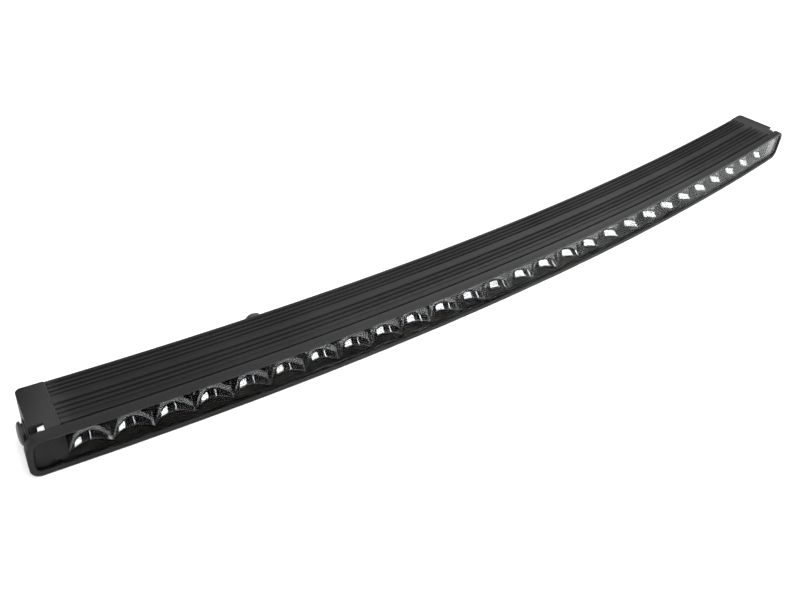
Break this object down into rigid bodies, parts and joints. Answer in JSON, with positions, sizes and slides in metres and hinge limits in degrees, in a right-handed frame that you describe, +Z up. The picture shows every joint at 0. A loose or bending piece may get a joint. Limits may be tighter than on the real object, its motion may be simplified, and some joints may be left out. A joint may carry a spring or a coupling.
{
  "type": "led light bar",
  "caption": "Curved single-row LED light bar: ribbed black housing, framed clear lens over mirrored square-cut reflectors, end caps with bracket bolts.",
  "frame": {"origin": "underside of the housing at mid length, on the centre line of its wide flat land", "axes": "+X along the bar to its right end as seen from the front, light leaves towards -Y, +Z up"},
  "size_m": [0.8606, 0.0788, 0.034],
  "materials": {
    "powder_coat": "fine-textured satin black powder coat on extruded and cast aluminium",
    "clear_lens": "clear hard-coated polycarbonate",
    "seal_rubber": "black silicone",
    "reflector_chrome": "vacuum-metallised plastic, dark mirror finish",
    "black_gloss": "gloss black moulded plastic",
    "zinc_steel": "bright zinc plated steel",
    "black_steel": "black oxide steel",
    "insert_brass": "turned brass",
    "board_mask": "white solder mask on an aluminium core",
    "thermal_gap_pad": "grey gap pad",
    "led_ceramic": "white ceramic",
    "led_phosphor": "silicone dome over yellow phosphor",
    "driver_fr4": "green glass-epoxy board",
    "capacitor_sleeve": "shrink sleeve",
    "ferrite": "ferrite with enamelled winding",
    "chip_epoxy": "black epoxy",
    "nylon": "black glass-filled nylon"
  },
  "bodies": {
    "bar": {"breather_body": "nylon", "breather_cap": "nylon", "driver_board": "driver_fr4", "driver_capacitors": "capacitor_sleeve", "driver_chips": "chip_epoxy", "driver_choke": "ferrite", "driver_spacers": "nylon", "front_bezel": "powder_coat", "gland_body": "nylon", "gland_nut": "nylon", "gland_seal": "seal_rubber", "housing": "powder_coat", "led_board_1": "board_mask", "led_board_2": "board_mask", "led_board_3": "board_mask", "led_domes": "led_phosphor", "led_emitters": "led_ceramic", "left_bolt_insert": "insert_brass", "left_cap_gasket": "seal_rubber", "left_cap_screws": "zinc_steel", "left_end_cap": "powder_coat", "left_end_shield": "black_gloss", "lens": "clear_lens", "lens_seal": "seal_rubber", "reflector_1": "reflector_chrome", "reflector_2": "reflector_chrome", "reflector_3": "reflector_chrome", "right_bolt_insert": "insert_brass", "right_cap_gasket": "seal_rubber", "right_cap_screws": "zinc_steel", "right_end_cap": "powder_coat", "right_end_shield": "black_gloss", "thermal_pad_1": "thermal_gap_pad", "thermal_pad_2": "thermal_gap_pad", "thermal_pad_3": "thermal_gap_pad"},
    "right_washers": {"right_bolt_washers": "black_steel"},
    "right_bolt": {"right_bracket_bolt": "black_steel"},
    "left_washers": {"left_bolt_washers": "black_steel"},
    "left_bolt": {"left_bracket_bolt": "black_steel"}
  },
  "joints": [
    {"name": "right_bolt_draw", "type": "slide", "parent": "bar", "child": "right_washers", "axis": [0.9929, 0.1193, 0], "range_m": [0, 0.00313]},
    {"name": "right_bolt_turn", "type": "hinge", "parent": "right_washers", "child": "right_bolt", "pos_m": [0.42155, 0.0223, 0.0162], "axis": [0.9929, 0.1193, 0], "range_deg": [0, 900]},
    {"name": "left_bolt_draw", "type": "slide", "parent": "bar", "child": "left_washers", "axis": [-0.9929, 0.1193, 0], "range_m": [0, 0.00313]},
    {"name": "left_bolt_turn", "type": "hinge", "parent": "left_washers", "child": "left_bolt", "pos_m": [-0.42155, 0.0223, 0.0162], "axis": [-0.9929, 0.1193, 0], "range_deg": [0, 900]}
  ],
  "couplings": [
    {"joint": "right_bolt_turn", "follows": "right_bolt_draw", "rad_per_m": 5026.5},
    {"joint": "left_bolt_turn", "follows": "left_bolt_draw", "rad_per_m": 5026.5}
  ]
}
